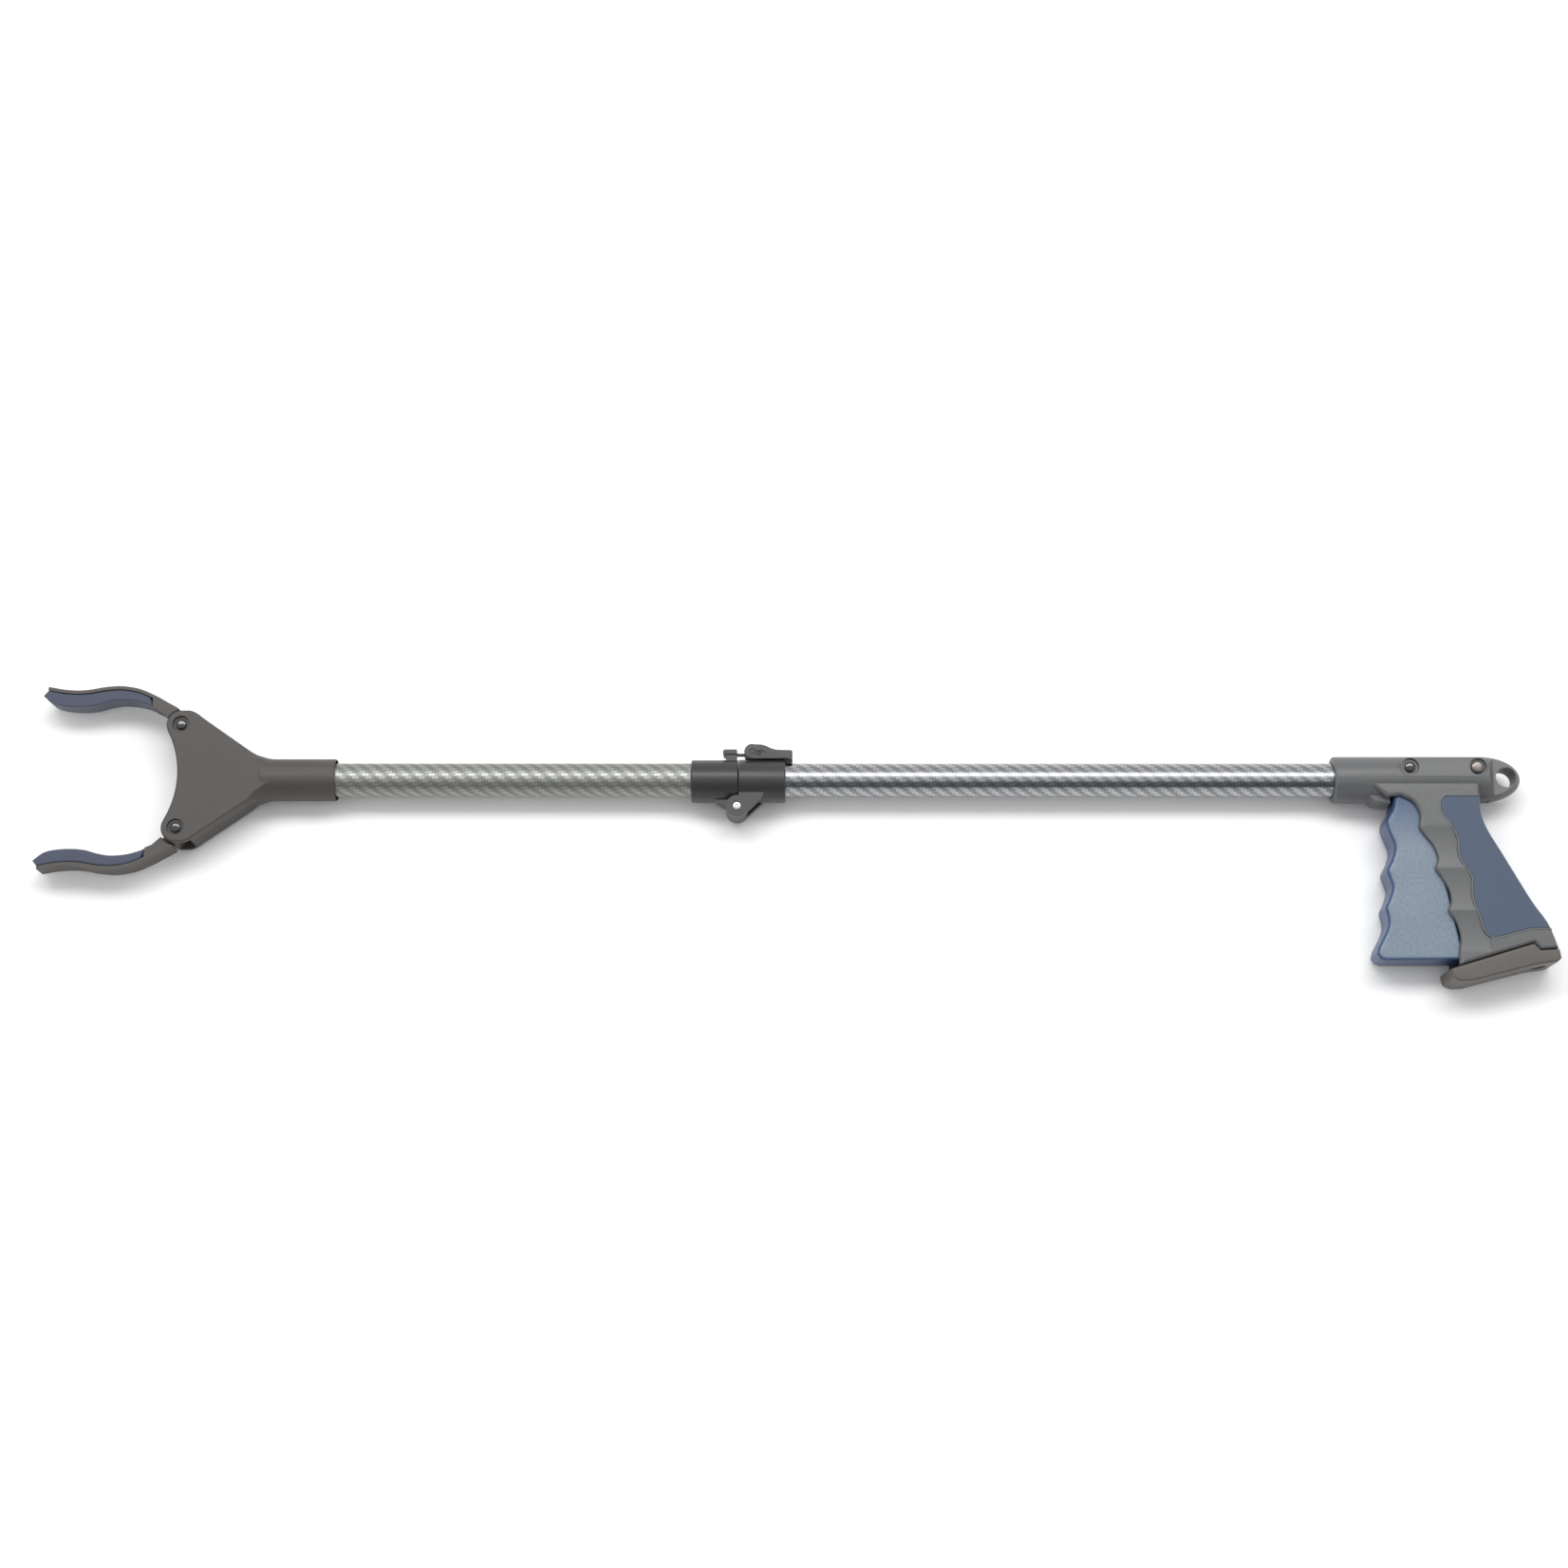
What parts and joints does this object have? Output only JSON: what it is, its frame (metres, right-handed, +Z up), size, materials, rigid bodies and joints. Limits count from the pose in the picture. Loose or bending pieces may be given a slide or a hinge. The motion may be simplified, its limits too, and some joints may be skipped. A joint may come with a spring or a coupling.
{
  "type": "reacher grabber",
  "caption": "Folding pistol-grip reacher with a trigger that closes two curved rubber-lined jaws, a hinged tube with a toggle latch, and a lanyard eye.",
  "frame": {"origin": "below the middle of the outer box, on the surface that the tool lies on", "axes": "+X from the jaws to the handle, along the tube; +Y to the latch's side, away from the grip; +Z up, square to the plane that the jaws and the trigger move in"},
  "size_m": [0.8942, 0.1796, 0.0294],
  "materials": {
    "head_plastic": "fine spark-eroded texture, warm dark grey",
    "handle_plastic": "satin moulded, warm grey",
    "clamp_plastic": "moulded glass-filled nylon, black",
    "trigger_plastic": "smooth moulded, slate blue",
    "grip_rubber": "soft-touch overmould, blue",
    "jaw_rubber": "soft rubber, slate blue",
    "carbon_tube": "twill weave under clear lacquer",
    "steel": "turned",
    "black_steel": "black oxide, oiled",
    "nylon": "natural"
  },
  "bodies": {
    "handle": {"handle_shell_left": "handle_plastic", "handle_shell_right": "handle_plastic", "grip_inlay_left": "grip_rubber", "grip_inlay_right": "grip_rubber", "base_cap": "handle_plastic", "base_cap_screw": "steel", "trigger_pivot_screw": "black_steel", "trigger_pivot_nut": "steel", "handle_screw": "steel", "handle_nut": "steel", "rear_tube": "carbon_tube", "cable_guide": "nylon", "rear_clamp": "clamp_plastic", "hinge_pin": "steel", "fold_cable": "steel"},
    "trigger": {"trigger": "trigger_plastic", "cable_barrel": "steel"},
    "rear_pull": {"rear_pull_cable": "steel"},
    "latch_lever": {"latch_lever": "clamp_plastic", "latch_link_pin": "steel"},
    "latch_link": {"latch_link": "clamp_plastic"},
    "front_arm": {"front_clamp": "clamp_plastic", "front_tube": "carbon_tube", "head_shell_left": "head_plastic", "head_shell_right": "head_plastic", "sleeve_set_screw": "black_steel", "spring_seat": "nylon", "return_spring": "steel", "upper_jaw_screw": "black_steel", "upper_jaw_nut": "steel", "lower_jaw_screw": "black_steel", "lower_jaw_nut": "steel"},
    "front_pull": {"pull_yoke": "steel", "front_pull_cable": "steel"},
    "upper_jaw": {"upper_jaw": "head_plastic", "upper_jaw_pad": "jaw_rubber", "upper_tail_pin": "steel"},
    "lower_jaw": {"lower_jaw": "head_plastic", "lower_jaw_pad": "jaw_rubber", "lower_tail_pin": "steel"}
  },
  "joints": [
    {"name": "fold", "type": "hinge", "parent": "handle", "child": "front_arm", "pos_m": [-0.0323, 0.016, 0.0147], "axis": [0, 0, 1], "range_deg": [0, 150], "deforming": ["fold_cable"]},
    {"name": "trigger_squeeze", "type": "hinge", "parent": "handle", "child": "trigger", "pos_m": [0.3657, 0.0386, 0.0147], "axis": [0, 0, 1], "range_deg": [0, 18], "stiffness_Nm_per_rad": 0.6, "springref_deg": -8.59},
    {"name": "rear_cable_pull", "type": "slide", "parent": "handle", "child": "rear_pull", "axis": [1, 0, 0], "range_m": [0, 0.0043]},
    {"name": "yoke_pull", "type": "slide", "parent": "front_arm", "child": "front_pull", "axis": [1, 0, 0], "range_m": [0, 0.0043], "deforming": ["return_spring"]},
    {"name": "upper_jaw_close", "type": "hinge", "parent": "front_arm", "child": "upper_jaw", "pos_m": [-0.3627, 0.0652, 0.0147], "axis": [0, 0, 1], "range_deg": [0, 33.4]},
    {"name": "lower_jaw_close", "type": "hinge", "parent": "front_arm", "child": "lower_jaw", "pos_m": [-0.3627, 0.0024, 0.0147], "axis": [0, 0, -1], "range_deg": [0, 33.4]},
    {"name": "latch_open", "type": "hinge", "parent": "handle", "child": "latch_lever", "pos_m": [-0.0233, 0.0499, 0.0147], "axis": [0, 0, 1], "range_deg": [0, 100]},
    {"name": "latch_link_swing", "type": "hinge", "parent": "latch_lever", "child": "latch_link", "pos_m": [-0.01944, 0.04886, 0.0147], "axis": [0, 0, 1], "range_deg": [-100, 0]}
  ],
  "couplings": [
    {"joint": "rear_cable_pull", "follows": "trigger_squeeze", "m_per_rad": 0.01359},
    {"joint": "yoke_pull", "follows": "trigger_squeeze", "m_per_rad": 0.01359},
    {"joint": "upper_jaw_close", "follows": "trigger_squeeze", "ratio": 1.855},
    {"joint": "lower_jaw_close", "follows": "trigger_squeeze", "ratio": 1.855},
    {"joint": "latch_link_swing", "follows": "latch_open", "ratio": -1}
  ]
}
